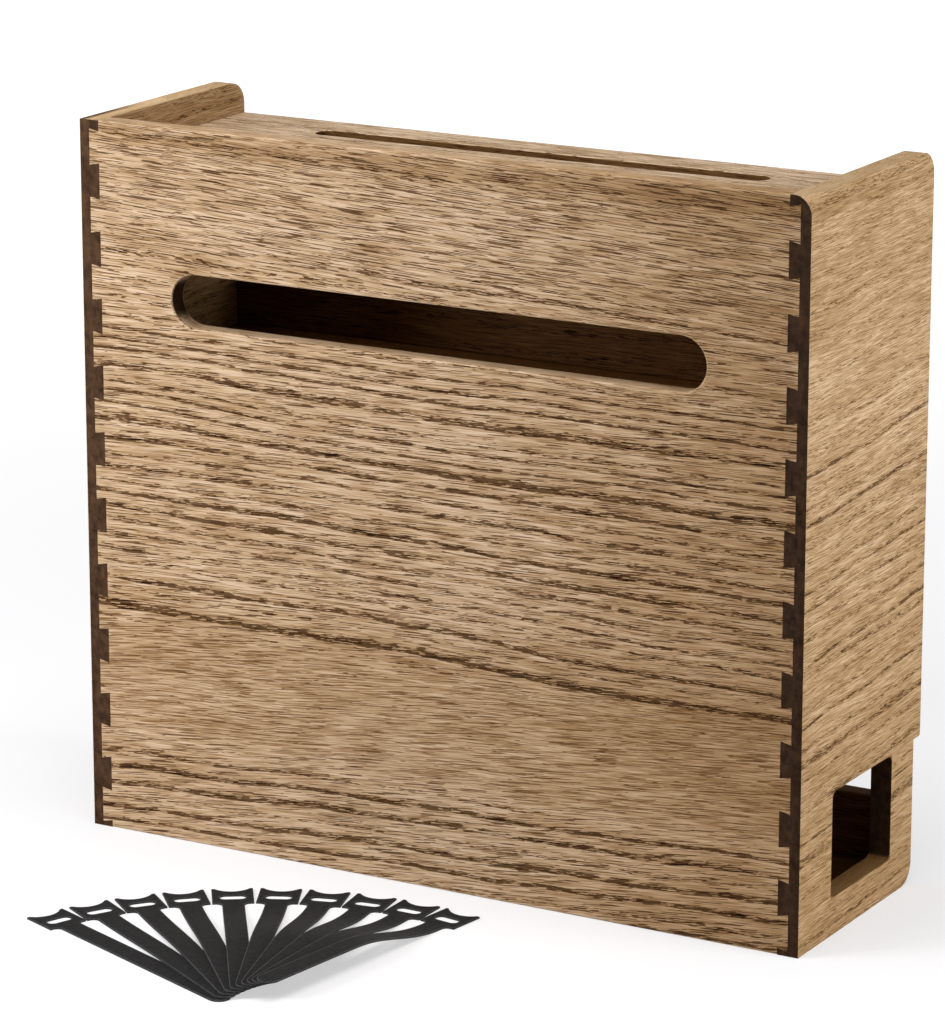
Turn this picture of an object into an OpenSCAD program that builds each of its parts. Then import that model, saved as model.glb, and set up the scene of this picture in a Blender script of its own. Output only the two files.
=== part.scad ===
// Wooden desk cable organizer. Eight boards make an open-backed box with half-blind
// dovetails at its two front corners, a phone slot in the recessed top board, a shelf,
// and a low rail at the back of the shelf and of the bottom board. Hidden dowels hold
// the inner boards. Ten hook-and-loop cable ties lie fanned out in front of the box.
// Millimetres, +Z up. The origin is on the floor under the middle of the box, and the
// front panel faces -Y.

/* [Box] */
// Width over the two sides
box_w = 400; // [350:1:560]
// Depth from the front face to the rear edges of the sides
box_d = 134; // [122:1:200]
// Height from the floor to the top edges
box_h = 366; // [345:1:480]

/* [Boards] */
// Thickness of the two sides
side_t = 11; // [9:0.5:16]
// Thickness of the front panel
front_t = 11; // [9:0.5:16]
// Thickness of the top board, the shelf and the bottom board
shelf_t = 11; // [9:0.5:15]
// Thickness of the two back rails
rail_t = 10; // [9:0.5:15]
// Height of a back rail above the board that it stands on
rail_h = 33.5; // [24:0.5:60]
// Drop from the top edges to the upper face of the top board
top_drop = 16.5; // [8:0.5:30]
// Height of the upper face of the shelf above the floor
shelf_z = 240; // [150:1:260]

/* [Front slot] */
// Length of the slot in the front panel
front_slot_l = 295; // [120:1:320]
// Height of the slot
front_slot_h = 27; // [16:0.5:36]
// Height of the slot's middle line above the shelf
front_slot_rise = 40.5; // [22:0.5:58]

/* [Top slot] */
// Length of the phone slot in the top board
top_slot_l = 253.5; // [100:0.5:300]
// Width of the phone slot
top_slot_w = 13; // [8:0.5:24]
// Distance from the phone slot's middle line to the rear edge
top_slot_back = 29.5; // [16:0.5:70]

/* [Side cut-outs] */
// Length of a cut-out from front to back
cutout_d = 66.5; // [30:0.5:72]
// Height of a cut-out
cutout_h = 53.5; // [25:0.5:100]
// Corner radius of a cut-out
cutout_r = 4; // [2:0.5:10]
// Height of a cut-out's lower edge above the floor
cutout_z = 19; // [16:0.5:60]
// Distance from the front face to a cut-out
cutout_y = 35; // [25:0.5:42]

/* [Side edges] */
// Depth of the notch that clears a skirting board
notch_d = 7.5; // [3:0.5:14]
// Height of the notch
notch_h = 73.5; // [40:0.5:120]
// Radius at the lip of the notch
notch_r = 1.5; // [0.5:0.5:3]
// Radius of the upper rear corner of a side
rear_r = 12; // [4:0.5:20]
// Radius of the lower rear corner of a side
foot_r = 11; // [4:0.5:20]
// Radius of the sanded upper front corner of the right side
sanded_r = 9.5; // [4:0.5:11]
// Length over which that sanded corner fades out towards the rear
sanded_run = 14; // [6:1:30]

/* [Dovetails] */
// Spacing of the tails
tail_pitch = 34.1; // [26:0.1:45]
// Width of a tail at its outer end
tail_w = 18.2; // [12:0.1:22]
// Reach of a tail into the side
tail_l = 5.5; // [3:0.5:7]
// Slope of a tail's flanks, in degrees
tail_slope = 12; // [6:1:16]
// Half pin above the uppermost tail
top_pin = 4.4; // [2:0.2:10]
// Clearance at every glued face
joint_gap = 0.1; // [0.05:0.05:0.3]

/* [Dowels] */
// Diameter of a dowel
dowel_d = 6; // [4:0.5:7]
// Length of a dowel
dowel_l = 24; // [18:1:32]
// Depth of a dowel in the side
dowel_bite = 6.5; // [4:0.5:8]
// Distance of a board's dowels from its front and rear edges
dowel_inset = 25; // [12:1:40]
// Distance of a rail's dowels from its upper and lower edges
rail_dowel_inset = 8; // [6:0.5:8]
// Chamfer at the ends of a dowel
dowel_chamfer = 1; // [0.5:0.25:1.5]
// Clearance around a dowel and at its ends
dowel_gap = 0.1; // [0.05:0.05:0.2]

/* [Cable ties] */
// Length of a tie
tie_l = 150; // [120:1:200]
// Width of the strap
tie_w = 11; // [8:0.5:13]
// Thickness of the strap
tie_t = 0.9; // [0.7:0.1:1.5]
// Width of the head
tie_head_w = 20.5; // [18:0.5:28]
// Length of the head over its two horns
tie_head_l = 20.5; // [18:0.5:26]
// Width of a horn's tip
tie_horn_w = 1.5; // [1:0.25:3]
// Depth of the hollow between the horns
tie_hollow = 4.3; // [2:0.1:6]
// Length of the slot across the head
tie_slot_l = 13.5; // [10:0.5:15]
// Width of the slot
tie_slot_w = 6; // [4.5:0.5:7]
// Distance of the slot's middle from the tips of the horns
tie_slot_in = 12.5; // [11:0.5:14]
// Radius of the shoulders between head and strap
tie_shoulder_r = 3; // [1:0.5:4]

/* [Fan of ties] */
// Clearance between straps that lie on each other
layer_gap = 0.1; // [0.1:0.05:0.5]
// Gap between neighbouring heads
head_gap = 0.8; // [0.4:0.2:10]
// Distance of the straps' tips from the pivot of the fan
tip_r = 13; // [6:1:40]
// Sideways place of the pivot
fan_x = 8; // [-60:1:60]
// Clearance between the heads and the front panel
fan_clear = 23; // [5:1:100]
// Turn of the fan to the left, in degrees
fan_turn = 30; // [0:1:60]

/* [Hidden] */
$fn = 64;
// Extra length that takes a cut past a face
over = 1;

front_y = -box_d / 2;
rear_y = box_d / 2;
// Rear face of what stands behind the skirting notch
notch_y = rear_y - notch_d;
// Inner face of a side, and front edge of the boards behind the front panel
side_x = box_w / 2 - side_t;
inner_y = front_y + front_t + joint_gap;
// Half length of the boards between the sides
board_x = side_x - joint_gap;

top_z = box_h - top_drop;
front_slot_z = shelf_z + front_slot_rise;

// As many tails as fit between the two half pins
least_pin = 1.5;
tail_count = 1 + floor((box_h - top_pin - least_pin - tail_w) / tail_pitch);
top_tail_z = box_h - top_pin - tail_w / 2;

// Places of the dowels at one end: [y, z] pairs
top_dowels = end_pair(top_z - shelf_t / 2, rear_y);
shelf_dowels = end_pair(shelf_z - shelf_t / 2, rear_y);
bottom_dowels = end_pair(shelf_t / 2, notch_y);
shelf_rail_dowels = rail_pair(rear_y, shelf_z);
base_rail_dowels = rail_pair(notch_y, shelf_t);

// The fan: heads lie side by side, so the head's inner end sets the step
tie_count = 10;
head_start = tip_r + tie_l - tie_head_l;
half_step = atan((tie_head_w + head_gap) / 2 / head_start);
fan_y = front_y - fan_clear - tip_r - tie_l;
// Straps lie on each other up to here, and on the floor from here on
stack_end = tie_w / 2 / tan(half_step) + 2;
floor_start = head_start - tie_shoulder_r - 2;
ramp_steps = 10;
// Circle of the hollow that runs through the tips of both horns
hollow_half = tie_head_w / 2 - tie_horn_w;
hollow_r = (hollow_half * hollow_half + tie_hollow * tie_hollow) / (2 * tie_hollow);

front_wood = [0.66, 0.51, 0.35];
side_wood = [0.72, 0.58, 0.40];
inner_wood = [0.52, 0.38, 0.25];
dowel_wood = [0.80, 0.66, 0.46];
tie_black = [0.13, 0.13, 0.13];

// Dowel places near the front and the rear edge of a board that ends at back_y
function end_pair(z, back_y) = [[inner_y + dowel_inset, z], [back_y - dowel_inset, z]];

// Dowel places in a rail that stands at height z with its rear face at back_y
function rail_pair(back_y, z) =
    [for (up = [rail_dowel_inset, rail_h - rail_dowel_inset]) [back_y - rail_t / 2, z + up]];

// Half width of a tail at distance x from its root
function tail_half(x) = tail_w / 2 - (tail_l - x) * tan(tail_slope);

function tie_name(k) = str("cable_tie_", k < 9 ? "0" : "", k + 1);

// Height of the underside of strap k at radius r: flat on the stack, then a cosine ramp
function tie_height(k, r) =
    let (lift = k * (tie_t + layer_gap), run = (r - stack_end) / (floor_start - stack_end))
    lift * (1 + cos(180 * min(1, max(0, run)))) / 2;

// Flat shape with two full-round ends
module stadium(l, w) {
    square([l - w, w], center = true);
    for (side = [-1, 1])
        translate([side * (l - w) / 2, 0]) circle(d = w);
}

// Rectangle from the origin with four round corners
module rounded_rectangle(l, h, r) {
    translate([r, 0]) square([l - 2 * r, h]);
    translate([0, r]) square([l, h - 2 * r]);
    for (x = [r, l - r], y = [r, h - r])
        translate([x, y]) circle(r = r);
}

// What rounding takes off a corner whose outside lies in the direction out
module round_off(corner, out, r) {
    translate([corner.x - out.x * r, corner.y - out.y * r])
        difference() {
            translate([min(0, out.x * (r + over)), min(0, out.y * (r + over))])
                square(r + over);
            circle(r = r);
        }
}

// Tails of one end, seen from the front, with their roots on the line x = 0
module tails(from_x, to_x, gap) {
    for (i = [0 : tail_count - 1])
        translate([0, top_tail_z - i * tail_pitch])
            polygon([
                [from_x, -tail_half(from_x) - gap], [to_x, -tail_half(to_x) - gap],
                [to_x, tail_half(to_x) + gap], [from_x, tail_half(from_x) + gap]
            ]);
}

// Turns a flat drawing in x and z into a plate of thickness t behind the plane y
module plate_at_y(y, t) {
    translate([0, y + t, 0]) rotate([90, 0, 0]) linear_extrude(t) children();
}

// Turns a flat drawing in y and z into a plate of thickness t beyond the plane x
module plate_at_x(x, t) {
    translate([x, 0, 0]) rotate([90, 0, 90]) linear_extrude(t) children();
}

// Bores for dowels at both ends of a board
module end_bores(places) {
    depth = dowel_l - dowel_bite + dowel_gap;
    for (side = [-1, 1], p = places)
        translate([side * (side_x - depth / 2 + over / 2), p.x, p.y])
            rotate([0, 90, 0])
                cylinder(h = depth + over, d = dowel_d + 2 * dowel_gap, center = true);
}

// Dowels at both ends of a board
module dowels(places) {
    r = dowel_d / 2;
    half = dowel_l / 2;
    color(dowel_wood)
        for (side = [-1, 1], p = places)
            translate([side * (side_x + dowel_bite - half), p.x, p.y])
                rotate([0, 90, 0])
                    rotate_extrude()
                        polygon([
                            [0, -half], [r - dowel_chamfer, -half], [r, dowel_chamfer - half],
                            [r, half - dowel_chamfer], [r - dowel_chamfer, half], [0, half]
                        ]);
}

// Outline of a side, seen from the right: notch, round rear corners and cut-out
module side_outline() {
    difference() {
        translate([front_y, 0]) square([box_d, box_h]);
        round_off([rear_y, box_h], [1, 1], rear_r);
        translate([notch_y, -over]) square([notch_d + over, notch_h + over]);
        round_off([notch_y, 0], [1, -1], foot_r);
        round_off([rear_y, notch_h], [1, -1], notch_r);
        translate([front_y + cutout_y, cutout_z])
            rounded_rectangle(cutout_d, cutout_h, cutout_r);
    }
}

// A side as it stands on the right, with its sockets and dowel bores
module side_board() {
    bore_d = dowel_d + 2 * dowel_gap;
    all_dowels = concat(top_dowels, shelf_dowels, bottom_dowels, shelf_rail_dowels, base_rail_dowels);
    difference() {
        plate_at_x(side_x, side_t) side_outline();
        plate_at_y(front_y - over, front_t + over + joint_gap)
            translate([side_x, 0]) tails(-over, tail_l + joint_gap, joint_gap);
        for (p = all_dowels)
            translate([side_x - over, p.x, p.y])
                rotate([0, 90, 0]) cylinder(h = dowel_bite + dowel_gap + over, d = bore_d);
    }
}

// What sanding takes off the upper front corner: a round corner that fades along a cone
module sanded_corner() {
    r = min(sanded_r, side_t);
    translate([box_w / 2 - r, front_y, box_h - r])
        difference() {
            translate([0, -over, 0]) cube([r + over, sanded_run + over, r + over]);
            rotate([-90, 0, 0]) cylinder(h = sanded_run, r1 = r, r2 = r * sqrt(2));
            translate([0, -over, 0]) rotate([-90, 0, 0]) cylinder(h = over, r = r);
        }
}

// Board between the sides, from the front panel back to back_y, with its top at z
module cross_board(z, back_y, places) {
    difference() {
        translate([-board_x, inner_y, z - shelf_t])
            cube([2 * board_x, back_y - inner_y, shelf_t]);
        end_bores(places);
    }
}

// Rail between the sides, standing at height z with its rear face at back_y
module back_rail(z, back_y, places) {
    difference() {
        translate([-board_x, back_y - rail_t, z + joint_gap])
            cube([2 * board_x, rail_t, rail_h - joint_gap]);
        end_bores(places);
    }
}

// What the lower rear rounding of the sides takes off the pieces between them
module foot_round() {
    plate_at_x(-box_w / 2, box_w) round_off([notch_y, 0], [1, -1], foot_r);
}

// Outline of a tie along +x: round tip, strap, shoulders, horned head and its slot
module tie_outline() {
    tip_x = tip_r + tie_w / 2;
    difference() {
        union() {
            translate([tip_x, 0]) circle(d = tie_w);
            translate([tip_x, -tie_w / 2]) square([head_start + over - tip_x, tie_w]);
            translate([head_start, -tie_head_w / 2]) square([tie_head_l, tie_head_w]);
            for (side = [-1, 1])
                round_off([head_start, side * tie_w / 2], [1, -side], tie_shoulder_r);
        }
        translate([tip_r + tie_l - tie_hollow + hollow_r, 0]) circle(r = hollow_r);
        translate([tip_r + tie_l - tie_slot_in, 0]) rotate(90) stadium(tie_slot_l, tie_slot_w);
    }
}

// Side view of strap k from its tip to its horns
module tie_profile(k) {
    ramp = [for (i = [0 : ramp_steps])
        stack_end + (floor_start - stack_end) * i / ramp_steps];
    reach = concat([tip_r - over], ramp, [tip_r + tie_l + over]);
    lower = [for (r = reach) [r, tie_height(k, r)]];
    upper = [for (i = [len(reach) - 1 : -1 : 0]) lower[i] + [0, tie_t]];
    polygon(concat(lower, upper));
}

// Tie k of the fan, counted from the left: its outline bent to its side view
module cable_tie(k) {
    turn = 90 + fan_turn + ((tie_count - 1) / 2 - k) * 2 * half_step;
    color(tie_black)
        translate([fan_x, fan_y, 0]) rotate(turn)
            intersection() {
                linear_extrude(tie_count * (tie_t + layer_gap)) tie_outline();
                plate_at_y(-tie_head_w / 2 - over, tie_head_w + 2 * over) tie_profile(k);
            }
}

module front_panel() {
    color(front_wood)
        difference() {
            plate_at_y(front_y, front_t) {
                translate([-board_x, 0]) square([2 * board_x, box_h]);
                for (side = [0, 1])
                    mirror([side, 0]) translate([side_x, 0]) tails(-over, tail_l, 0);
            }
            plate_at_y(front_y - over, front_t + 2 * over)
                translate([0, front_slot_z]) stadium(front_slot_l, front_slot_h);
        }
}

module right_side() {
    color(side_wood)
        difference() {
            side_board();
            sanded_corner();
        }
}

module left_side() {
    color(side_wood) mirror([1, 0, 0]) side_board();
}

module top_board() {
    color(front_wood)
        difference() {
            cross_board(top_z, rear_y, top_dowels);
            translate([0, rear_y - top_slot_back, top_z - shelf_t - over])
                linear_extrude(shelf_t + 2 * over) stadium(top_slot_l, top_slot_w);
        }
}

module middle_shelf() {
    color(inner_wood) cross_board(shelf_z, rear_y, shelf_dowels);
}

module bottom_board() {
    color(inner_wood)
        difference() {
            cross_board(shelf_t, notch_y, bottom_dowels);
            foot_round();
        }
}

module shelf_rail() {
    color(inner_wood) back_rail(shelf_z, rear_y, shelf_rail_dowels);
}

module base_rail() {
    color(inner_wood)
        difference() {
            back_rail(shelf_t, notch_y, base_rail_dowels);
            foot_round();
        }
}

front_panel();
left_side();
right_side();
top_board();
middle_shelf();
bottom_board();
shelf_rail();
base_rail();
dowels(top_dowels);  // top_board_dowels
dowels(shelf_dowels);  // middle_shelf_dowels
dowels(bottom_dowels);  // bottom_board_dowels
dowels(shelf_rail_dowels);
dowels(base_rail_dowels);
for (k = [0 : tie_count - 1])
    cable_tie(k);
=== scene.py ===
"""Looks of the wooden desk cable organizer: eased boards, streaked timber and napped cable ties."""

import math

import bmesh
import bpy
import numpy as np
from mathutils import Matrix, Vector


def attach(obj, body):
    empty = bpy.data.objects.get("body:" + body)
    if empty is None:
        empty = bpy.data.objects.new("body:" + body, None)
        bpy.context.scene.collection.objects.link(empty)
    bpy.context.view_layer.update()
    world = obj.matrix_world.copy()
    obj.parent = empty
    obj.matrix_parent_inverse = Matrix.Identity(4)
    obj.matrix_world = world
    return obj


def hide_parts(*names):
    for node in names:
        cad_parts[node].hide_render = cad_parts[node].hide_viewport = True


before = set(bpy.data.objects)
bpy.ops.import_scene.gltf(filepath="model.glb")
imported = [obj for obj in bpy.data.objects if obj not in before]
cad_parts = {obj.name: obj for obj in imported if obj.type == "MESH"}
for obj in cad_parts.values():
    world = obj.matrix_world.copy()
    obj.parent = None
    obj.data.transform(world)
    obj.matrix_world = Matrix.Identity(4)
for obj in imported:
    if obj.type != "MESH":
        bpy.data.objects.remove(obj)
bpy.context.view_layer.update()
scene = bpy.context.scene

# Lengths in this script are metres unless a comment says millimetres, and MM turns these into them
MM = 0.001

# The box, as it is built
BOX_W, BOX_D, BOX_H = 400 * MM, 134 * MM, 366 * MM
FRONT_Y = -BOX_D / 2
SIDE_T = 11 * MM
SIDE_X = BOX_W / 2 - SIDE_T
FRONT_T = 11 * MM
TAIL_L = 5.5 * MM
TOP_DROP = 16.5 * MM
TOP_Z = BOX_H - TOP_DROP
TOP_SLOT_L, TOP_SLOT_W, TOP_SLOT_Y = 253.5 * MM, 13 * MM, 37.5 * MM
CUTOUT_D, CUTOUT_H = 66.5 * MM, 53.5 * MM
CUTOUT_INSET, CUTOUT_UP = 35 * MM, 19 * MM
CUTOUT_Y, CUTOUT_Z = FRONT_Y + CUTOUT_INSET + CUTOUT_D / 2, CUTOUT_UP + CUTOUT_H / 2


# Node trees

def wire(tree, value, socket):
    """Links an output socket to an input, or sets the input to a plain value."""
    if isinstance(value, bpy.types.NodeSocket):
        tree.links.new(value, socket)
    else:
        socket.default_value = value


def node(tree, kind, inputs=None, **settings):
    """Adds a shader node, sets its properties and wires its inputs by name or index."""
    made = tree.nodes.new("ShaderNode" + kind)
    for key, value in settings.items():
        setattr(made, key, value)
    for key, value in (inputs or {}).items():
        wire(tree, value, made.inputs[key])
    return made


def calc(tree, operation, a, b=0.0, c=0.0, clamp=False):
    """One Math node; gives its output."""
    made = node(tree, "Math", {0: a, 1: b, 2: c}, operation=operation, use_clamp=clamp)
    return made.outputs[0]


def object_place(tree):
    """The place in the object's own metres."""
    return node(tree, "TexCoord").outputs["Object"]


def surface_normal(tree):
    """The way that the surface looks."""
    return node(tree, "TexCoord").outputs["Normal"]


def axes_of(tree, place):
    """A place's three distances, by the axes' names."""
    return node(tree, "SeparateXYZ", {0: place}).outputs


def place_of(tree, x, y, z=0.0):
    """A place made of three distances."""
    return node(tree, "CombineXYZ", {"X": x, "Y": y, "Z": z}).outputs[0]


def noise(tree, place, sizes, detail=2.0, roughness=0.5):
    """Noise around 0.5 whose blotches have the three given lengths in millimetres."""
    scaled = node(tree, "VectorMath", {0: place, 1: sizes}, operation="DIVIDE").outputs[0]
    inputs = {"Vector": scaled, "Scale": 1.0, "Detail": detail, "Roughness": roughness}
    return node(tree, "TexNoise", inputs).outputs["Fac"]


def swing(tree, place, sizes, detail=2.0, roughness=0.5):
    """The same noise, around zero."""
    return calc(tree, "SUBTRACT", noise(tree, place, sizes, detail, roughness), 0.5)


def noise_along(tree, along, detail=2.0):
    """Noise around 0.5 along one distance."""
    inputs = {"W": along, "Scale": 1.0, "Detail": detail}
    return node(tree, "TexNoise", inputs, noise_dimensions="1D").outputs["Fac"]


def soft_step(tree, value, low, high, start=0.0, end=1.0):
    """A smooth step from start to end as the value goes from low to high."""
    inputs = {"Value": value, "From Min": low, "From Max": high, "To Min": start, "To Max": end}
    made = node(tree, "MapRange", inputs, interpolation_type="SMOOTHSTEP")
    return made.outputs["Result"]


def soft_fall(tree, value, low, high, start=1.0):
    """A smooth step from start down to zero as the value goes from low to high."""
    return soft_step(tree, value, low, high, start, 0.0)


def blend_colour(tree, factor, a, b, mode="MIX"):
    """Mixes two colours by a factor; gives the mixed colour."""
    made = node(tree, "Mix", data_type="RGBA", blend_type=mode)
    wire(tree, factor, made.inputs[0])
    wire(tree, a, made.inputs[6])
    wire(tree, b, made.inputs[7])
    return made.outputs[2]


def new_group(name, inputs, outputs):
    """An empty shader node group with named sockets; gives the tree, its inputs and its end."""
    tree = bpy.data.node_groups.new(name, "ShaderNodeTree")
    for label, kind, start in inputs:
        socket = tree.interface.new_socket(label, in_out="INPUT", socket_type="NodeSocket" + kind)
        if start is not None:
            socket.default_value = start
    for label, kind in outputs:
        tree.interface.new_socket(label, in_out="OUTPUT", socket_type="NodeSocket" + kind)
    begin = tree.nodes.new("NodeGroupInput")
    end = tree.nodes.new("NodeGroupOutput")
    return tree, begin.outputs, end.inputs


def new_material(name):
    """A material with a Principled shader; gives the material, its tree and the shader."""
    material = bpy.data.materials.new(name)
    material.use_nodes = True
    tree = material.node_tree
    return material, tree, tree.nodes["Principled BSDF"]


# The timber's pattern, in millimetres before fine scales it. Threes are a noise's lengths along the
# grain, into the board and across the grain. Pairs are where a soft step begins and ends.

# How far the rings and the fibres are bent, and how far the rings climb into the board
BEND_SIZES, RING_BEND, FIBRE_BEND, RING_CLIMB = (190, 90, 70), 16.0, 5.0, 0.3

# Rings: their roughness, their uneven spacing, their least weight and the parts of a ring in which
# its line and its tint rise and fall
ROUGH_SIZES, ROUGH = (26, 14, 9), 3.0
UNEVEN_RUN, UNEVEN = 24.0, 1.1
LEAST_WEIGHT = 0.5
RING_RISE, LINE_FALL, TINT_FALL = (0.0, 0.08), (0.2, 0.6), (0.1, 0.9)

# Places where the line fades, and what stays of it there
FADE_SIZES, FADE_OUT, FADED = (60, 30, 14), (0.34, 0.56), 0.65

# Fibres: how far apart they start in their noise, and where they fade towards their two sides
FIBRE_SPREAD, FIBRE_SIDE = 900.0, (0.2, 0.5)

# Three kinds of dash: a fibre's height, the share of the grain's length and the level that is dark
PORE_H, PORE_RUN, PORE_LEVEL, PORE_CROWD = 0.52, 0.8, (0.8, 0.86), 0.41
DASH_H, DASH_RUN, DASH_LEVEL = 0.5, 2.2, (0.6, 0.66)
HAIR_H, HAIR_RUN, HAIR_LEVEL = 0.48, 2.2, (0.4, 0.7)

# Streaks in rows that slip past each other, and patches
SLIP_ROW, SLIP = 2.2, 36.0
STREAK_RUN, STREAK_DEEP, STREAK_WIDE, STREAK_LEVEL = 2.2, 3.0, 1.1, (0.3, 0.7)
PATCH_SIZES = (120, 60, 24)

# How deep each of them stains
STREAK_DEPTH, HAIR_DEPTH, TINT_DEPTH, PORE_DEPTH = 0.15, 0.29, 0.05, 0.9
PATCH_DEPTH, BASE_DEPTH = 0.22, 0.08

# Which faces are end grain, and which are a board's edges, with the share of the marks kept there
END_FACE, EDGE_FACE, EDGE_MARKS, EDGE_TURN = (0.55, 0.9), (0.4, 0.8), 0.35, 0.7

# End grain: its speckles and clouds, and the tones that add up
SPECKLE_SIZES, CLOUD_SIZES = (0.8, 0.8, 0.8), (7, 7, 11)
END_TONE, END_TINT, END_SPECKLE, END_CLOUD = 0.5, -0.2, 1.1, 2.0

# Roughness, and the heights for the bump
ROUGHNESS, PORE_ROUGHNESS, END_ROUGHNESS = 0.6, 0.2, 0.2
PORE_HEIGHT, DASH_HEIGHT, SPECKLE_HEIGHT = -1.0, -0.4, 0.8


def ring_bands(tree, given, flow):
    """Growth rings at a place: how strong the ring's line is, and the tint that fades from it.

    A ring is a band of the distance across the grain, roughened by noise and spaced unevenly, and
    each has its own weight."""
    across = axes_of(tree, flow)["Z"]
    rough = swing(tree, flow, ROUGH_SIZES, detail=3.0, roughness=0.6)
    across = calc(tree, "MULTIPLY_ADD", rough, ROUGH, across)
    uneven = noise_along(tree, calc(tree, "DIVIDE", across, UNEVEN_RUN))
    turns = calc(tree, "DIVIDE", across, given["Spacing"])
    turns = calc(tree, "MULTIPLY_ADD", uneven, UNEVEN, turns)
    within = calc(tree, "FRACT", turns)
    weight = node(tree, "TexWhiteNoise", {"W": calc(tree, "FLOOR", turns)},
                  noise_dimensions="1D").outputs["Value"]
    weight = calc(tree, "MULTIPLY_ADD", weight, 1 - LEAST_WEIGHT, LEAST_WEIGHT)
    strength = calc(tree, "MULTIPLY", weight, given["Rings"])
    rise = soft_step(tree, within, *RING_RISE)
    line_band = calc(tree, "MULTIPLY", rise, soft_fall(tree, within, *LINE_FALL))
    tint_band = calc(tree, "MULTIPLY", rise, soft_fall(tree, within, *TINT_FALL))
    fading = soft_step(tree, noise(tree, flow, FADE_SIZES), *FADE_OUT, FADED, 1.0)
    line = calc(tree, "MULTIPLY", calc(tree, "MULTIPLY", line_band, strength), fading)
    return calc(tree, "MINIMUM", line, 1.0), calc(tree, "MULTIPLY", tint_band, strength)


def pore_rows(tree, place, turned, height, length, level, crowd=0.0):
    """Thin dark dashes along the grain, each as high as one fibre.

    A fibre is a square cell of the two distances across the grain, and where turned is 1, a row of
    the second one only. It has its own random start in a noise along the grain, plus crowd, and is
    dark where that passes through level, less so towards its two sides."""
    axes = axes_of(tree, place)
    up = calc(tree, "DIVIDE", axes["Z"], height)
    up = calc(tree, "MULTIPLY", up, calc(tree, "SUBTRACT", 1.0, turned))
    deep = calc(tree, "DIVIDE", axes["Y"], height)
    cell = place_of(tree, calc(tree, "FLOOR", up), calc(tree, "FLOOR", deep))
    start = node(tree, "TexWhiteNoise", {"Vector": cell}, noise_dimensions="2D").outputs["Value"]
    run = calc(tree, "DIVIDE", axes["X"], length)
    run = calc(tree, "MULTIPLY_ADD", start, FIBRE_SPREAD, run)
    value = calc(tree, "ADD", noise_along(tree, run, detail=1.0), crowd)
    counted = calc(tree, "FRACT", calc(tree, "MULTIPLY_ADD", deep, turned, up))
    aside = calc(tree, "ABSOLUTE", calc(tree, "SUBTRACT", counted, 0.5))
    dark = soft_step(tree, value, *level)
    return calc(tree, "MULTIPLY", dark, soft_fall(tree, aside, *FIBRE_SIDE))


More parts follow.
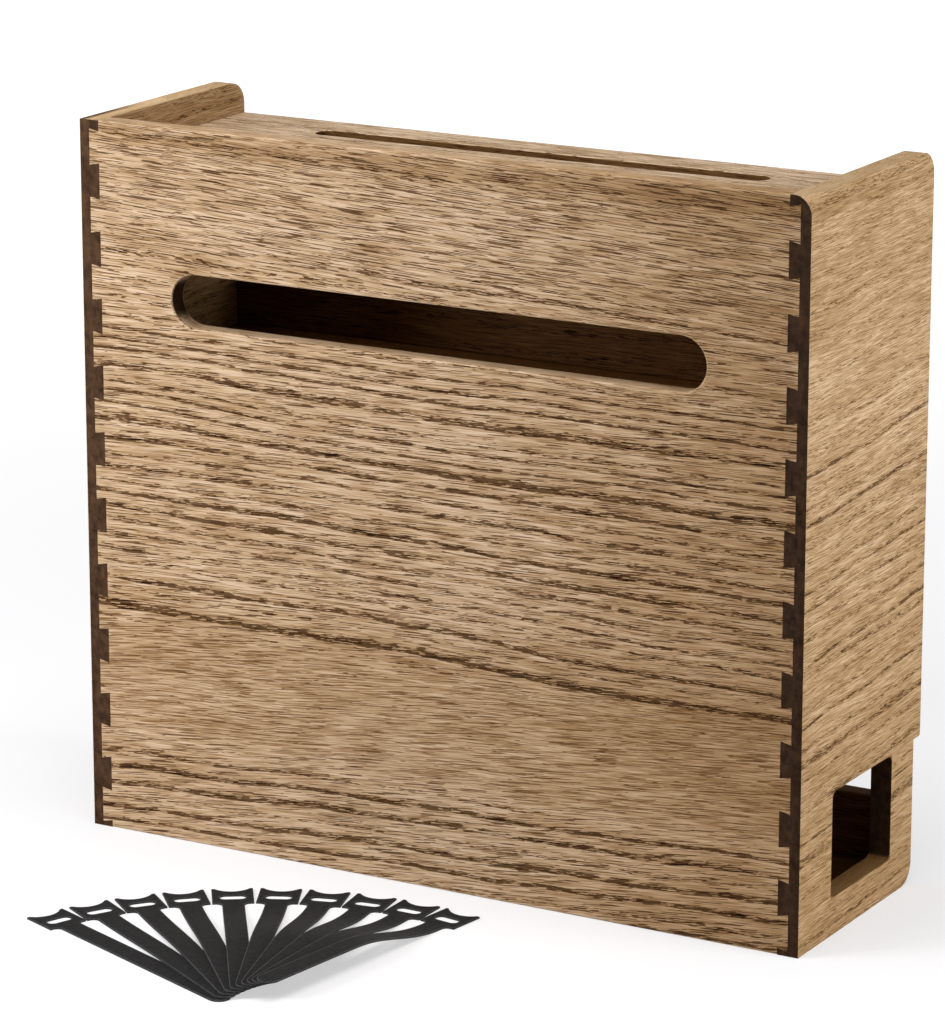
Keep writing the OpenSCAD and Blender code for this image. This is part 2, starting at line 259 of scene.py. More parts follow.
def make_timber_group():
    """Open-pored timber in millimetres, with its grain along the first axis of Place.

    The distance across the grain is bent slowly and tilted, once for the rings and once, leaning by
    itself, for the fibres. Pores crowd into a broken band of fibres on each ring, and dashes and
    hairs lie everywhere. A depth adds these up, and the colour is the light one times the stain's
    colour to the power of that depth, as in stained wood. Faces that look along Edge are calmer,
    and those that look along Grain are end grain."""
    tree, given, out = new_group(
        "timber",
        [("Place", "Vector", None), ("Grain", "Vector", (1, 0, 0)), ("Edge", "Vector", (0, 0, 1)),
         ("Light", "Color", (0.5, 0.4, 0.3, 1)), ("Stain", "Color", (0.1, 0.05, 0.02, 1)),
         ("End", "Color", (0.08, 0.05, 0.03, 1)), ("Spacing", "Float", 10.0),
         ("Rings", "Float", 1.0), ("Shade", "Float", 0.0), ("Dashes", "Float", 0.3),
         ("Crowd", "Float", 0.0), ("Length", "Float", 12.0), ("Tilt", "Float", 0.0),
         ("Lean", "Float", 0.0)],
        [("Color", "Color"), ("Roughness", "Float"), ("Height", "Float")],
    )
    place = given["Place"]
    axes = axes_of(tree, place)

    def part_of_length(share):
        """A share of the grain's own length."""
        return calc(tree, "MULTIPLY", given["Length"], share)

    # The place again, with its third axis bent the way the rings run
    slow = swing(tree, place, BEND_SIZES, detail=1.0)
    across = calc(tree, "MULTIPLY_ADD", axes["Y"], RING_CLIMB, axes["Z"])
    across = calc(tree, "MULTIPLY_ADD", axes["X"], given["Tilt"], across)
    across = calc(tree, "MULTIPLY_ADD", slow, RING_BEND, across)
    flow = place_of(tree, axes["X"], axes["Y"], across)

    # And with its third axis bent less, the way the fibres run
    aside = calc(tree, "MULTIPLY_ADD", axes["X"], given["Lean"], axes["Z"])
    aside = calc(tree, "MULTIPLY_ADD", slow, FIBRE_BEND, aside)
    fibre = place_of(tree, axes["X"], axes["Y"], aside)

    # And in rows that slip along the grain past each other, for the streaks
    slip = noise_along(tree, calc(tree, "DIVIDE", across, SLIP_ROW))
    rows = place_of(tree, calc(tree, "MULTIPLY_ADD", slip, SLIP, axes["X"]), axes["Y"], across)

    # How far the surface looks along the grain and along the board's edge
    normal = surface_normal(tree)
    along_grain = node(tree, "VectorMath", {0: normal, 1: given["Grain"]}, operation="DOT_PRODUCT")
    along_edge = node(tree, "VectorMath", {0: normal, 1: given["Edge"]}, operation="DOT_PRODUCT")
    along_grain = calc(tree, "ABSOLUTE", along_grain.outputs["Value"])
    along_edge = calc(tree, "ABSOLUTE", along_edge.outputs["Value"])
    end = soft_step(tree, along_grain, *END_FACE)
    calm = soft_step(tree, along_edge, *EDGE_FACE, 1.0, EDGE_MARKS)
    turned = calc(tree, "GREATER_THAN", along_edge, EDGE_TURN)

    # Pores crowd where the ring's line is strong, and dashes and hairs lie everywhere
    line, tint = ring_bands(tree, given, flow)
    pore = pore_rows(tree, fibre, turned, PORE_H, part_of_length(PORE_RUN), PORE_LEVEL,
                     calc(tree, "MULTIPLY", line, PORE_CROWD))
    dash = pore_rows(tree, fibre, turned, DASH_H, part_of_length(DASH_RUN), DASH_LEVEL,
                     given["Crowd"])
    hair = pore_rows(tree, fibre, turned, HAIR_H, part_of_length(HAIR_RUN), HAIR_LEVEL)

    # Soft streaks and patches, then the long-grain colour
    sizes = place_of(tree, part_of_length(STREAK_RUN), STREAK_DEEP, STREAK_WIDE)
    streak = noise(tree, rows, sizes, detail=3.0, roughness=0.6)
    streak = soft_step(tree, streak, *STREAK_LEVEL, -0.5, 0.5)
    patch = swing(tree, flow, PATCH_SIZES, detail=3.0, roughness=0.6)
    marks = calc(tree, "MULTIPLY", hair, HAIR_DEPTH)
    marks = calc(tree, "MULTIPLY_ADD", streak, STREAK_DEPTH, marks)
    marks = calc(tree, "MULTIPLY_ADD", dash, given["Dashes"], marks)
    marks = calc(tree, "MULTIPLY_ADD", tint, TINT_DEPTH, marks)
    marks = calc(tree, "MULTIPLY_ADD", pore, PORE_DEPTH, marks)
    depth = calc(tree, "ADD", given["Shade"], BASE_DEPTH)
    depth = calc(tree, "MULTIPLY_ADD", patch, PATCH_DEPTH, depth)
    depth = calc(tree, "MULTIPLY_ADD", marks, calm, depth)
    depth = calc(tree, "MAXIMUM", depth, 0.0)
    stain = node(tree, "Gamma", {"Color": given["Stain"], "Gamma": depth}).outputs[0]
    long_grain = blend_colour(tree, 1.0, given["Light"], stain, "MULTIPLY")

    # End grain, speckled and nearly black, where the surface looks along the grain
    speckle = noise(tree, place, SPECKLE_SIZES, roughness=0.6)
    cloud = swing(tree, place, CLOUD_SIZES)
    tone = calc(tree, "MULTIPLY_ADD", tint, END_TINT, END_TONE)
    tone = calc(tree, "MULTIPLY_ADD", speckle, END_SPECKLE, tone)
    tone = calc(tree, "MULTIPLY_ADD", cloud, END_CLOUD, tone)
    end_grain = blend_colour(tree, 1.0, given["End"], tone, "MULTIPLY")
    wire(tree, blend_colour(tree, end, long_grain, end_grain), out["Color"])

    rough = calc(tree, "MULTIPLY_ADD", pore, PORE_ROUGHNESS, ROUGHNESS)
    rough = calc(tree, "MULTIPLY_ADD", end, END_ROUGHNESS, rough, clamp=True)
    wire(tree, rough, out["Roughness"])
    height = calc(tree, "MULTIPLY", pore, PORE_HEIGHT)
    height = calc(tree, "MULTIPLY_ADD", dash, DASH_HEIGHT, height)
    end_speckle = calc(tree, "MULTIPLY", speckle, end)
    height = calc(tree, "MULTIPLY_ADD", end_speckle, SPECKLE_HEIGHT, height)
    wire(tree, height, out["Height"])
    return tree


timber = make_timber_group()

# Colours of the timbers
FRONT_LIGHT, FRONT_STAIN = (0.81, 0.604, 0.42, 1), (0.0645, 0.0265, 0.0056, 1)
# The top board's paler, greyer colour is a painted sheen from the light above
TOP_SHEEN_LIGHT = (0.84, 0.655, 0.487, 1)
SIDE_LIGHT, SIDE_STAIN = (0.76, 0.565, 0.378, 1), (0.09, 0.045, 0.011, 1)
DOWEL_LIGHT, DOWEL_STAIN = (0.62, 0.48, 0.31, 1), (0.3, 0.24, 0.18, 1)
DOWEL_END = (0.42, 0.3, 0.18, 1)
# The left end grain is paler than the right's: painted light where the key light from the left
# falls
LEFT_END_LIT, RIGHT_END = (0.075, 0.038, 0.019, 1), (0.046, 0.0225, 0.011, 1)

# Painted shade inside the box, in cut-outs and slots, and on faces that look away from the rear
INSIDE_PAINTED_SHADE, CUTOUT_PAINTED_SHADE, SLOT_PAINTED_SHADE = 0.2, 0.28, 0.5
AWAY_PAINTED_SHADE, REAR_PAINTED_SHADE, REAR_FACE = 0.56, 0.1, (0.2, 0.9)

# Where that painted shade begins and ends, past the wall's own face
INSIDE_FADE, TOP_FADE, WALL_FADE = (0.2 * MM, 0.6 * MM), (-1 * MM, 0.5 * MM), (0.1 * MM, 0.4 * MM)

# Gloss and bump of the timbers
TIMBER_GLOSS, TIMBER_BUMP, TIMBER_BUMP_DEPTH = 0.1, 0.35, 0.2 * MM


def by_place(tree, axis, low, high, points_given):
    """A value that follows a list of (place in metres, value), read along one axis of the box.

    The ramp holds each value plus one, because a ramp's colours can't go below zero."""
    along = axes_of(tree, object_place(tree))[axis]
    share = node(tree, "MapRange", {"Value": along, "From Min": low, "From Max": high})
    ramp = node(tree, "ValToRGB", {"Fac": share.outputs["Result"]})
    points = ramp.color_ramp.elements
    while len(points) < len(points_given):
        points.new(0.5)
    for point, (where, value) in zip(points, points_given):
        point.position = (where - low) / (high - low)
        point.color = (value + 1, value + 1, value + 1, 1)
    return calc(tree, "SUBTRACT", ramp.outputs["Color"], 1.0)


def distance(tree, value, middle):
    """How far a value lies from a middle."""
    return calc(tree, "ABSOLUTE", calc(tree, "SUBTRACT", value, middle))


def past(face, fade):
    """The two ends of a fade, counted from a face."""
    return [face + way for way in fade]


def inside_faces(tree):
    """Painted shade on the faces of the sides that look into the box, and in their cut-outs."""
    axes = axes_of(tree, object_place(tree))
    inner = soft_fall(tree, calc(tree, "ABSOLUTE", axes["X"]), *past(SIDE_X, INSIDE_FADE),
                      INSIDE_PAINTED_SHADE)
    below = soft_fall(tree, axes["Z"], *past(TOP_Z, TOP_FADE))
    in_depth = soft_fall(tree, distance(tree, axes["Y"], CUTOUT_Y), *past(CUTOUT_D / 2, WALL_FADE),
                         CUTOUT_PAINTED_SHADE)
    in_height = soft_fall(tree, distance(tree, axes["Z"], CUTOUT_Z), *past(CUTOUT_H / 2, WALL_FADE))
    return calc(tree, "MAXIMUM", calc(tree, "MULTIPLY", inner, below),
                calc(tree, "MULTIPLY", in_depth, in_height))


def away_from_rear(tree):
    """Painted shade on the inner boards: deep, and slight on faces that look to the rear."""
    rear = axes_of(tree, surface_normal(tree))["Y"]
    return soft_step(tree, rear, *REAR_FACE, AWAY_PAINTED_SHADE, REAR_PAINTED_SHADE)


def slot_walls(tree):
    """Painted shade on the walls of the top slot: within its half width of a line along it."""
    axes = axes_of(tree, object_place(tree))
    half_line = (TOP_SLOT_L - TOP_SLOT_W) / 2
    past_end = calc(tree, "SUBTRACT", calc(tree, "ABSOLUTE", axes["X"]), half_line)
    apart = place_of(tree, calc(tree, "MAXIMUM", past_end, 0.0),
                     calc(tree, "SUBTRACT", axes["Y"], TOP_SLOT_Y))
    reach = node(tree, "VectorMath", {0: apart}, operation="LENGTH").outputs["Value"]
    return soft_fall(tree, reach, *past(TOP_SLOT_W / 2, WALL_FADE), SLOT_PAINTED_SHADE)


def timber_material(name, grain, edge, turn, shift, light, stain, spacing, rings, dashes,
                    crowd=0.0, length=13.0, tilt=0.0, lean=None, end=RIGHT_END, shade=0.0,
                    across=None, fine=1.0, faint=1.0, deeper=None, lift=0.0):
    """A timber whose pattern is turned so that its first axis runs along grain.

    rings, shade, dashes, crowd, tilt and lean are each a number, or a list of (height in metres,
    value). To shade come across, a list of (place along the width, value), and deeper,
    which gives a value for the tree that paints shade where little light reaches; lift, a painted
    highlight, goes from it. fine makes all marks that much smaller, and faint is the share of the
    dashes that is kept. Fibres lean as the rings tilt unless lean is given."""
    material, tree, shader = new_material(name)
    mapped = node(tree, "Mapping", {"Vector": object_place(tree), "Location": shift,
                                    "Rotation": turn, "Scale": (fine / MM,) * 3})
    lean = tilt if lean is None else lean
    rings, shade, dashes, crowd, tilt, lean = (
        by_place(tree, "Z", 0.0, BOX_H, given) if isinstance(given, list) else given
        for given in (rings, shade, dashes, crowd, tilt, lean))
    dashes = calc(tree, "MULTIPLY", dashes, faint)
    if across:
        shade = calc(tree, "ADD", shade, by_place(tree, "X", -BOX_W / 2, BOX_W / 2, across))
    # Painted shade, where little light reaches
    if deeper:
        shade = calc(tree, "ADD", shade, deeper(tree))
    # A painted highlight for the eased edges
    if lift:
        shade = calc(tree, "SUBTRACT", shade, lift)
    inputs = {"Place": mapped.outputs["Vector"], "Grain": grain, "Edge": edge, "Light": light,
              "Stain": stain, "End": end, "Spacing": spacing, "Rings": rings, "Shade": shade,
              "Dashes": dashes, "Crowd": crowd, "Length": length, "Tilt": tilt, "Lean": lean}
    wood = node(tree, "Group", inputs, node_tree=timber)
    wire(tree, wood.outputs["Color"], shader.inputs["Base Color"])
    wire(tree, wood.outputs["Roughness"], shader.inputs["Roughness"])
    bump = node(tree, "Bump", {"Height": wood.outputs["Height"], "Strength": TIMBER_BUMP,
                               "Distance": TIMBER_BUMP_DEPTH})
    wire(tree, bump.outputs["Normal"], shader.inputs["Normal"])
    shader.inputs["Specular IOR Level"].default_value = TIMBER_GLOSS
    return material


RIGHT_ANGLE = math.pi / 2
ALONG_X, ALONG_Y, ALONG_Z, NOWHERE = (1, 0, 0), (0, 1, 0), (0, 0, 1), (0, 0, 0)
UNTURNED = (0, 0, 0)

# What a sanded edge keeps of the dashes, and the stain taken off it as a painted highlight
ARRIS_FAINT, ARRIS_HIGHLIGHT = 0.5, 0.05


def timber_pair(name, grain, edge, **settings):
    """A timber and its edge timber: fainter marks as sanded, a painted highlight, no end grain."""
    board = timber_material(name, grain, edge, **settings)
    arris = timber_material(name + "_arris", NOWHERE, NOWHERE, faint=ARRIS_FAINT, lift=ARRIS_HIGHLIGHT,
                            **settings)
    return board, arris


front_timber = timber_pair(
    "front_timber", ALONG_X, ALONG_Z, turn=UNTURNED, shift=(0, 40, 17),
    light=FRONT_LIGHT, stain=FRONT_STAIN, spacing=10.0, length=18.0, fine=1.4,
    dashes=[(0.0, 0.9), (0.05, 0.9), (0.06, 0.47), (0.111, 0.47), (0.115, 0.88), (0.3, 0.88),
            (0.31, 0.92)],
    crowd=[(0.05, 0.0), (0.06, 0.05), (0.111, 0.05), (0.115, 0.0), (0.3, 0.0), (0.31, 0.06)],
    tilt=[(0.0, -0.04), (0.03, -0.04), (0.075, 0.0), (0.1, 0.0), (0.13, 0.03), (0.262, 0.015),
          (0.304, 0.045)],
    lean=[(0.0, -0.1), (0.095, -0.1), (0.135, -0.04), (0.262, -0.03), (0.304, 0.04)],
    rings=[(0.0, 1.35), (0.046, 1.4), (0.052, 0.1), (0.111, 0.1), (0.115, 1.5), (0.122, 1.5),
           (0.126, 1.4), (0.256, 1.4), (0.277, 0.95), (0.305, 0.9), (0.31, 0.25), (0.351, 0.25),
           (0.355, 0.8), (0.361, 0.8), (0.364, 0.4)],
    shade=[(0.0, -0.04), (0.05, -0.04), (0.06, -0.005), (0.11, 0.015), (0.14, -0.04),
           (0.26, -0.04), (0.31, -0.045), (0.353, -0.045), (0.357, 0.05), (0.361, 0.05),
           (0.364, 0.0)],
    across=[(-0.15, 0.0), (0.03, -0.005), (0.17, 0.1)],
)
# The top board's paler colour and negative shade paint the sheen of the light from above
top_timber = timber_pair(
    "top_timber", ALONG_X, ALONG_Y, turn=(RIGHT_ANGLE, 0, 0), shift=(77, 530, 260),
    light=TOP_SHEEN_LIGHT, stain=FRONT_STAIN, spacing=18.0, rings=0.6, dashes=0.6, crowd=0.03,
    length=18.0, fine=1.4, shade=-0.05, deeper=slot_walls,
)
side_settings = dict(
    grain=ALONG_Y, edge=ALONG_Z, turn=(0, 0, RIGHT_ANGLE), shift=(900, 120, 460), light=SIDE_LIGHT,
    stain=SIDE_STAIN, spacing=19.0, length=22.0, tilt=0.05, lean=0.0, fine=2.3, crowd=0.03,
    dashes=[(0.0, 0.4), (0.25, 0.4), (0.28, 0.34)],
    rings=[(0.0, 0.8), (0.08, 1.1), (0.25, 1.1), (0.28, 0.6), (0.352, 0.5), (0.356, 0.8)],
    # The shade list darkens the sides towards the floor: painted shade, where less light reaches
    # them
    shade=[(0.0, 0.09), (0.26, 0.0), (0.285, -0.005), (0.29, 0.035), (0.352, 0.035), (0.356, 0.12),
           (0.3655, 0.03)],
    deeper=inside_faces,
)
# The left side differs only in its paler end grain, which paints the light from the left
left_timber = timber_pair("left_timber", end=LEFT_END_LIT, **side_settings)
right_timber = timber_pair("right_timber", end=RIGHT_END, **side_settings)
inner_timber = timber_pair(
    "inner_timber", ALONG_X, ALONG_Z, turn=UNTURNED, shift=(1500, 820, 40),
    light=FRONT_LIGHT, stain=FRONT_STAIN, spacing=15.0, rings=0.8, dashes=0.5, length=18.0,
    fine=1.4, deeper=away_from_rear,
)
dowel_timber = timber_material(
    "dowel_timber", ALONG_X, ALONG_Z, turn=UNTURNED, shift=(2100, 60, 700),
    light=DOWEL_LIGHT, stain=DOWEL_STAIN, spacing=4.0, rings=0.4, dashes=0.2, end=DOWEL_END,
)

# The nap of the ties: two noise sizes in millimetres, and how much of the larger goes into the tone
# and the height
TANGLE_SIZES, TUFT_SIZES = (0.5, 0.5, 0.5), (2.6, 2.6, 2.6)
TUFT_TONE, TUFT_HEIGHT = 0.5, 0.6

# Where the nap's tone turns from the low to the high grey and from rough to less rough
NAP_GREY, NAP_SMOOTH, NAP_ROUGHNESS = (0.5, 1.0), (0.4, 1.1), (1.0, 0.85)
NAP_BUMP, NAP_BUMP_DEPTH = 0.6, 0.25 * MM
TIE_GLOSS, TIE_SHEEN, TIE_SHEEN_ROUGHNESS = 0.15, 0.04, 0.5

# The paler rim along the cut edge, in millimetres from it, and its strength: frayed fibres, partly
# a painted highlight where they catch the light
RIM_REACH, RIM_SHARE = (0.1, 0.6), 0.8

# Greys of the ties
BLACK_LOW, BLACK_HIGH = (0.003, 0.003, 0.0033, 1), (0.016, 0.016, 0.017, 1)
# The cut faces are a paler grey: frayed fibres, partly a painted highlight where they catch the
# light
EDGE_LOW, EDGE_HIGH = (0.02, 0.02, 0.021, 1), (0.075, 0.075, 0.077, 1)
RIM_GREY = (0.07, 0.07, 0.072, 1)


def make_nap_group():
    """Short fibres in millimetres: a fine tangle of two noise sizes, as a tone and a height."""
    tree, given, out = new_group("nap", [("Place", "Vector", None)],
                                 [("Tone", "Float"), ("Height", "Float")])
    tangle = noise(tree, given["Place"], TANGLE_SIZES, detail=3.0, roughness=0.7)
    tufts = noise(tree, given["Place"], TUFT_SIZES, roughness=0.6)
    wire(tree, calc(tree, "MULTIPLY_ADD", tufts, TUFT_TONE, tangle), out["Tone"])
    wire(tree, calc(tree, "MULTIPLY_ADD", tufts, TUFT_HEIGHT, tangle), out["Height"])
    return tree


nap = make_nap_group()


def tie_material(name, low, high, rim=None):
    """Napped fabric from a low to a high grey, with a paler rim at the cut edge if one is given."""
    material, tree, shader = new_material(name)
    mapped = node(tree, "Mapping", {"Vector": object_place(tree), "Scale": (1 / MM,) * 3})
    fibres = node(tree, "Group", {"Place": mapped.outputs["Vector"]}, node_tree=nap).outputs
    colour = blend_colour(tree, soft_step(tree, fibres["Tone"], *NAP_GREY), low, high)
    # The paler rim is frayed fibres, partly a painted highlight where they catch the light
    if rim:
        reach = node(tree, "Attribute", attribute_name="edge_reach").outputs["Fac"]
        colour = blend_colour(tree, soft_fall(tree, reach, *RIM_REACH, RIM_SHARE), colour, rim)
    wire(tree, colour, shader.inputs["Base Color"])
    bump = node(tree, "Bump", {"Height": fibres["Height"], "Strength": NAP_BUMP,
                               "Distance": NAP_BUMP_DEPTH})
    wire(tree, bump.outputs["Normal"], shader.inputs["Normal"])
    rough = soft_step(tree, fibres["Tone"], *NAP_SMOOTH, *NAP_ROUGHNESS)
    wire(tree, rough, shader.inputs["Roughness"])
    shader.inputs["Specular IOR Level"].default_value = TIE_GLOSS
    shader.inputs["Sheen Weight"].default_value = TIE_SHEEN
    shader.inputs["Sheen Roughness"].default_value = TIE_SHEEN_ROUGHNESS
    return material


tie_black = tie_material("tie_black", BLACK_LOW, BLACK_HIGH, rim=RIM_GREY)
tie_edge = tie_material("tie_edge", EDGE_LOW, EDGE_HIGH)


# Boards

# How wide a sharp edge is eased and in how many steps, and which edges count as sharp or flat
EASE, EASE_STEPS = 0.9 * MM, 3
SHARP_FROM, FLAT_WITHIN = math.radians(35), math.radians(0.5)
BOARD_MERGE = 0.002 * MM

# How far from a joint's face an edge still counts as in the joint
SLACK = 0.3 * MM


def eased_board(node_name, timbers, glued):
    """A copy of a board with its sharp edges eased and sanded, with a painted highlight on them.

    The copy's triangles are merged and flat ones joined. A sharp edge is rounded, and stays sharp
    where glued says that its middle lies in a joint or a bore."""
    mesh = bpy.data.meshes.new(node_name + "_eased")
    shape = bmesh.new()
    shape.from_mesh(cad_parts[node_name].data)
    bmesh.ops.remove_doubles(shape, verts=shape.verts, dist=BOARD_MERGE)
    bmesh.ops.dissolve_limit(shape, angle_limit=FLAT_WITHIN, verts=shape.verts, edges=shape.edges)
    weights = shape.edges.layers.float.new("bevel_weight_edge")
    for edge in shape.edges:
        if len(edge.link_faces) == 2 and edge.calc_face_angle(0.0) > SHARP_FROM:
            edge.smooth = not glued((edge.verts[0].co + edge.verts[1].co) / 2)
            edge[weights] = float(edge.smooth)
    for face in shape.faces:
        face.smooth = True
    shape.to_mesh(mesh)
    shape.free()
    board = bpy.data.objects.new(node_name + "_board", mesh)
    scene.collection.objects.link(board)
    for material in timbers:
        mesh.materials.append(material)
    bevel = board.modifiers.new("eased_edges", "BEVEL")
    bevel.width = EASE
    bevel.segments = EASE_STEPS
    bevel.limit_method = "WEIGHT"
    bevel.use_clamp_overlap = True
    # The eased edges take the second timber, whose paler colour is a painted highlight
    bevel.material = 1
    flats = board.modifiers.new("flat_faces", "WEIGHTED_NORMAL")
    flats.keep_sharp = True
    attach(board, "box")
    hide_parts(node_name)


def front_joint(middle):
    """The tails and the shoulders between them are glued; the rest of the panel is free."""
    return abs(middle.x) > SIDE_X - SLACK


def side_joint(middle):
    """The sockets are glued and the bores lie inside the board; the rest is free."""
    outer = abs(middle.x) > BOX_W / 2 - SLACK
    inner = abs(middle.x) < SIDE_X + SLACK
    socket = middle.y < FRONT_Y + FRONT_T + SLACK and abs(middle.x) < SIDE_X + TAIL_L + SLACK
    bore = not outer and not inner and middle.z < BOX_H - SLACK and middle.y > FRONT_Y + SLACK
    return socket or bore


def cross_joint(middle):
    """A board between the sides is glued at both ends and along its front edge."""
    at_end = abs(middle.x) > SIDE_X - 2 * SLACK
    at_front = middle.y < FRONT_Y + FRONT_T + 2 * SLACK
    return at_end or at_front


eased_board("front_panel", front_timber, front_joint)
eased_board("left_side", left_timber, side_joint)
eased_board("right_side", right_timber, side_joint)
eased_board("top_board", top_timber, cross_joint)
for name in ("middle_shelf", "bottom_board", "shelf_rail", "base_rail"):
    eased_board(name, inner_timber, cross_joint)

# The dowels keep their own shapes
for name in ("top_board", "middle_shelf", "bottom_board", "shelf_rail", "base_rail"):
    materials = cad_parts[name + "_dowels"].data.materials
    materials.clear()
    materials.append(dowel_timber)


# Cable ties

# One tie, in millimetres
TIE_COUNT = 10
TIE_L, TIE_W, TIE_T = 150.0, 11.0, 0.9
HEAD_W, HEAD_L, HORN_W, HOLLOW = 20.5, 20.5, 1.5, 4.3
SLOT_L, SLOT_W, SLOT_IN = 13.5, 6.0, 12.5
SHOULDER_R = 3.0

# The fan that the ties lie in, in millimetres and degrees
LAYER_GAP, HEAD_GAP = 0.1, 0.8
TIP_R = 13.0
FAN_X, FAN_CLEAR, FAN_TURN = 8.0, 23.0, 30.0
RAMP_MARGIN = 2

# What follows from these
HALF_W = TIE_W / 2
HEAD_START = TIP_R + TIE_L - HEAD_L
HEAD_END = TIP_R + TIE_L
HALF_STEP = math.atan((HEAD_W + HEAD_GAP) / 2 / HEAD_START)
FAN_Y = FRONT_Y / MM - FAN_CLEAR - TIP_R - TIE_L
STACK_END = HALF_W / math.tan(HALF_STEP) + RAMP_MARGIN
FLOOR_START = HEAD_START - SHOULDER_R - RAMP_MARGIN
HOLLOW_HALF = HEAD_W / 2 - HORN_W
HOLLOW_R = (HOLLOW_HALF ** 2 + HOLLOW ** 2) / (2 * HOLLOW)

# The grids of the strap and the head: shares of the half width, shares of the way from the slot to
# the outline, and numbers of points
ACROSS = np.array([-1, -0.95, -0.88, -0.7, -0.35, 0, 0.35, 0.7, 0.88, 0.95, 1])
OUTWARD = np.array([0, 0.06, 0.15, 0.4, 0.7, 0.88, 0.95, 1])
TIP_ROWS, STRAP_ROWS = 11, 56
FILLET_POINTS, SHOULDER_POINTS, SIDE_POINTS, HORN_POINTS, HOLLOW_POINTS = 9, 4, 10, 3, 13
TIE_MERGE = 0.01 * MM


def arc(centre, radius, start, end, count):
    """Points on a circle from one angle to another, in degrees."""
    angle = np.radians(np.linspace(start, end, count))
    return np.stack([centre[0] + radius * np.cos(angle), centre[1] + radius * np.sin(angle)], 1)


def head_outline():
    """The head's edge, once round: the strap's end, a shoulder, a side, the hollow and back."""
    half = HEAD_W / 2
    strap_end = np.stack([np.full(len(ACROSS), HEAD_START - SHOULDER_R), ACROSS * HALF_W], 1)
    fillet = arc((HEAD_START - SHOULDER_R, HALF_W + SHOULDER_R), SHOULDER_R, -90, 0, FILLET_POINTS)
    shoulder = np.linspace((HEAD_START, HALF_W + SHOULDER_R), (HEAD_START, half), SHOULDER_POINTS)
    side = np.linspace((HEAD_START, half), (HEAD_END, half), SIDE_POINTS)
    horn = np.linspace((HEAD_END, half), (HEAD_END, HOLLOW_HALF), HORN_POINTS)
    lean = math.degrees(math.asin(HOLLOW_HALF / HOLLOW_R))
    hollow = arc((HEAD_END - HOLLOW + HOLLOW_R, 0), HOLLOW_R, 180 - lean, 180, HOLLOW_POINTS)
    upper = np.concatenate([fillet[1:], shoulder[1:], side[1:], horn[1:], hollow[1:]])
    lower = upper[::-1] * (1, -1)
    return np.concatenate([strap_end, upper, lower[1:]])


def slot_point(angle):
    """Where a ray from the slot's middle leaves the slot: its straight side or its round end."""
    straight = (SLOT_L - SLOT_W) / 2
    c, s = np.cos(angle), np.sin(angle)
    flat = SLOT_W / 2 / np.maximum(np.abs(c), 1e-6)
    reach = straight * np.abs(s)
    rounded = reach + np.sqrt(np.maximum(reach ** 2 - straight ** 2 + (SLOT_W / 2) ** 2, 0))
    far = np.where(flat * np.abs(s) <= straight, flat, rounded)
    return np.stack([far * c, far * s], 1) + (HEAD_END - SLOT_IN, 0)


def grid_faces(rows, columns, wrap=False):
    """Four-cornered faces of a grid, closed round its columns if wrap is set."""
    index = np.arange(rows * columns).reshape(rows, columns)
    after = np.roll(index, -1, 1)
    last = columns if wrap else columns - 1
    return np.stack([index[:-1], after[:-1], after[1:], index[1:]], -1)[:, :last].reshape(-1, 4)


def flat_tie():
    """A tie laid out flat: its points, its faces and every point's distance from the cut edge.

    Across the strap, y is a share of its half width, which is a circle's at the tip. The head runs
    straight from the slot's edge to the outline."""
    tip = TIP_R + HALF_W - HALF_W * np.cos(np.radians(np.linspace(0, 90, TIP_ROWS)))
    run = np.linspace(TIP_R + HALF_W, HEAD_START - SHOULDER_R, STRAP_ROWS)
    along = np.concatenate([tip, run[1:]])
    from_tip = np.clip(TIP_R + HALF_W - along, 0, HALF_W)
    width = np.sqrt(np.clip(HALF_W ** 2 - from_tip ** 2, 0, None))
    strap = np.stack([np.repeat(along[:, None], len(ACROSS), 1), width[:, None] * ACROSS], -1)

    outline = head_outline()
    seen_from_slot = outline - (HEAD_END - SLOT_IN, 0)
    inner = slot_point(np.arctan2(seen_from_slot[:, 1], seen_from_slot[:, 0]))
    head = inner + (outline - inner) * OUTWARD[:, None, None]

    points = np.concatenate([strap.reshape(-1, 2), head.reshape(-1, 2)])
    faces = np.concatenate([
        grid_faces(len(along), len(ACROSS))[:, ::-1],
        grid_faces(len(OUTWARD), len(outline), wrap=True) + strap.shape[0] * strap.shape[1],
    ])
    edge = np.concatenate([strap[:, 0], strap[:, -1], outline[len(ACROSS) - 1:], inner])
    dense = np.concatenate([edge, (edge + np.roll(edge, -1, 0)) / 2])
    reach = np.linalg.norm(points[:, None] - dense[None], axis=2).min(1)
    return points, faces, reach


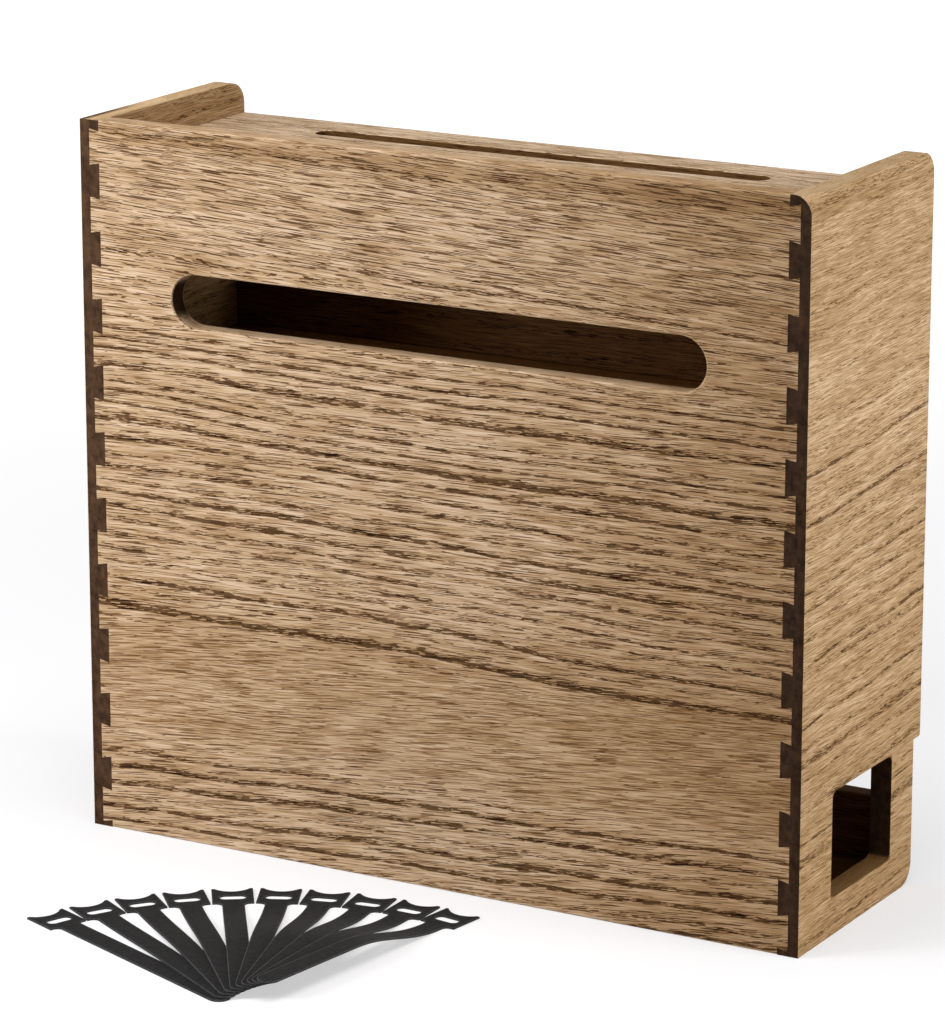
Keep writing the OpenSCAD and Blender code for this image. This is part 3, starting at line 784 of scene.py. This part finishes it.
def make_tie(k):
    """Tie k, counted from the left: the flat tie, bent down and turned to its place in the fan.

    Its height is a cosine ramp from the stack of straps down to the floor."""
    flat, faces, reach = flat_tie()
    lift = k * (TIE_T + LAYER_GAP)
    ramp = np.clip((flat[:, 0] - STACK_END) / (FLOOR_START - STACK_END), 0, 1)
    height = lift * (1 + np.cos(np.pi * ramp)) / 2 + TIE_T / 2
    turn = math.radians(90 + FAN_TURN) + ((TIE_COUNT - 1) / 2 - k) * 2 * HALF_STEP
    x = FAN_X + flat[:, 0] * math.cos(turn) - flat[:, 1] * math.sin(turn)
    y = FAN_Y + flat[:, 0] * math.sin(turn) + flat[:, 1] * math.cos(turn)

    name = f"cable_tie_{k + 1:02d}"
    mesh = bpy.data.meshes.new(name + "_cloth")
    mesh.from_pydata(np.stack([x, y, height], 1) * MM, [], faces.tolist())
    mesh.attributes.new("edge_reach", "FLOAT", "POINT").data.foreach_set("value", reach)
    shape = bmesh.new()
    shape.from_mesh(mesh)
    bmesh.ops.remove_doubles(shape, verts=shape.verts, dist=TIE_MERGE)
    bmesh.ops.recalc_face_normals(shape, faces=shape.faces)
    for face in shape.faces:
        face.smooth = True
    shape.to_mesh(mesh)
    shape.free()
    mesh.materials.append(tie_black)
    mesh.materials.append(tie_edge)
    tie = bpy.data.objects.new(name + "_strap", mesh)
    scene.collection.objects.link(tie)
    wall = tie.modifiers.new("thickness", "SOLIDIFY")
    wall.thickness = TIE_T * MM
    wall.offset = 0.0
    wall.material_offset_rim = 1
    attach(tie, "tie_fan")
    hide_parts(name)
    return tie


# Each tie is cut from a strip as wide as its head, and lies on the one before it
for k in range(TIE_COUNT):
    tie = make_tie(k)


# Studio

# The floor: half its width, its grey, and its glow for the camera near the box and far from it
FLOOR_HALF = 12.0
FLOOR_GREY, FLOOR_ROUGHNESS, FLOOR_GLOSS = (0.5, 0.5, 0.515, 1), 0.9, 0.1
GLOW_REACH, GLOW_NEAR, GLOW_FAR = (0.3, 2.0), 0.5, 1.0
WHITE = (1, 1, 1, 1)

# The light from all round, and what the camera sees on top of it
WORLD_LIGHT, WORLD_SEEN = 0.2, 0.8

# The camera that was fitted to the photograph: its lens and sensor in millimetres, place and angles
LENS, SENSOR_W, CLIP_END = 166.1, 36, 100
CAMERA_PLACE = (1.109, -1.967, 0.780)
CAMERA_DIP, CAMERA_TURN = 14.97, 29.75


def area_light(name, place, target, size, watts):
    """A square soft light that looks at a target."""
    lamp = bpy.data.lights.new(name, "AREA")
    lamp.shape = "SQUARE"
    lamp.size = size
    lamp.energy = watts
    made = bpy.data.objects.new(name, lamp)
    made.location = place
    made.rotation_euler = (Vector(target) - Vector(place)).to_track_quat("-Z", "Y").to_euler()
    scene.collection.objects.link(made)


def make_floor():
    """A wide pale floor at height zero, which glows a little more for the camera far away."""
    half = FLOOR_HALF
    mesh = bpy.data.meshes.new("studio_floor")
    corners = [(-half, -half, 0), (half, -half, 0), (half, half, 0), (-half, half, 0)]
    mesh.from_pydata(corners, [], [(0, 1, 2, 3)])
    floor = bpy.data.objects.new("studio_floor", mesh)
    scene.collection.objects.link(floor)
    material, tree, shader = new_material("pale_floor")
    shader.inputs["Base Color"].default_value = FLOOR_GREY
    shader.inputs["Roughness"].default_value = FLOOR_ROUGHNESS
    shader.inputs["Specular IOR Level"].default_value = FLOOR_GLOSS
    away = node(tree, "VectorMath", {0: object_place(tree)}, operation="LENGTH").outputs["Value"]
    glow = soft_step(tree, away, *GLOW_REACH, GLOW_NEAR, GLOW_FAR)
    seen = node(tree, "LightPath").outputs["Is Camera Ray"]
    wire(tree, calc(tree, "MULTIPLY", glow, seen), shader.inputs["Emission Strength"])
    shader.inputs["Emission Color"].default_value = WHITE
    mesh.materials.append(material)


def make_world():
    """A weak white light from all round, which the camera sees as plain white."""
    world = bpy.data.worlds.new("studio")
    world.use_nodes = True
    tree = world.node_tree
    background = tree.nodes["Background"]
    background.inputs["Color"].default_value = WHITE
    seen = node(tree, "LightPath").outputs["Is Camera Ray"]
    strength = calc(tree, "MULTIPLY_ADD", seen, WORLD_SEEN, WORLD_LIGHT)
    wire(tree, strength, background.inputs["Strength"])
    scene.world = world


make_floor()
make_world()
area_light("key_left", (-0.75, -0.85, 0.55), target=(-0.1, 0, 0.2), size=0.5, watts=9.0)
area_light("side_right", (1.4, 0.15, 0.32), target=(0.2, 0, 0.22), size=0.5, watts=12)
area_light("soft_top", (0, -0.3, 2.2), target=(0, 0, 0), size=1.4, watts=27)

scene.view_settings.view_transform = "Standard"
camera = bpy.data.objects.new("photo_camera", bpy.data.cameras.new("photo_camera"))
camera.data.lens = LENS
camera.data.sensor_width = SENSOR_W
camera.data.clip_end = CLIP_END
camera.location = CAMERA_PLACE
camera.rotation_euler = (math.radians(90 - CAMERA_DIP), 0, math.radians(CAMERA_TURN))
scene.collection.objects.link(camera)
scene.camera = camera
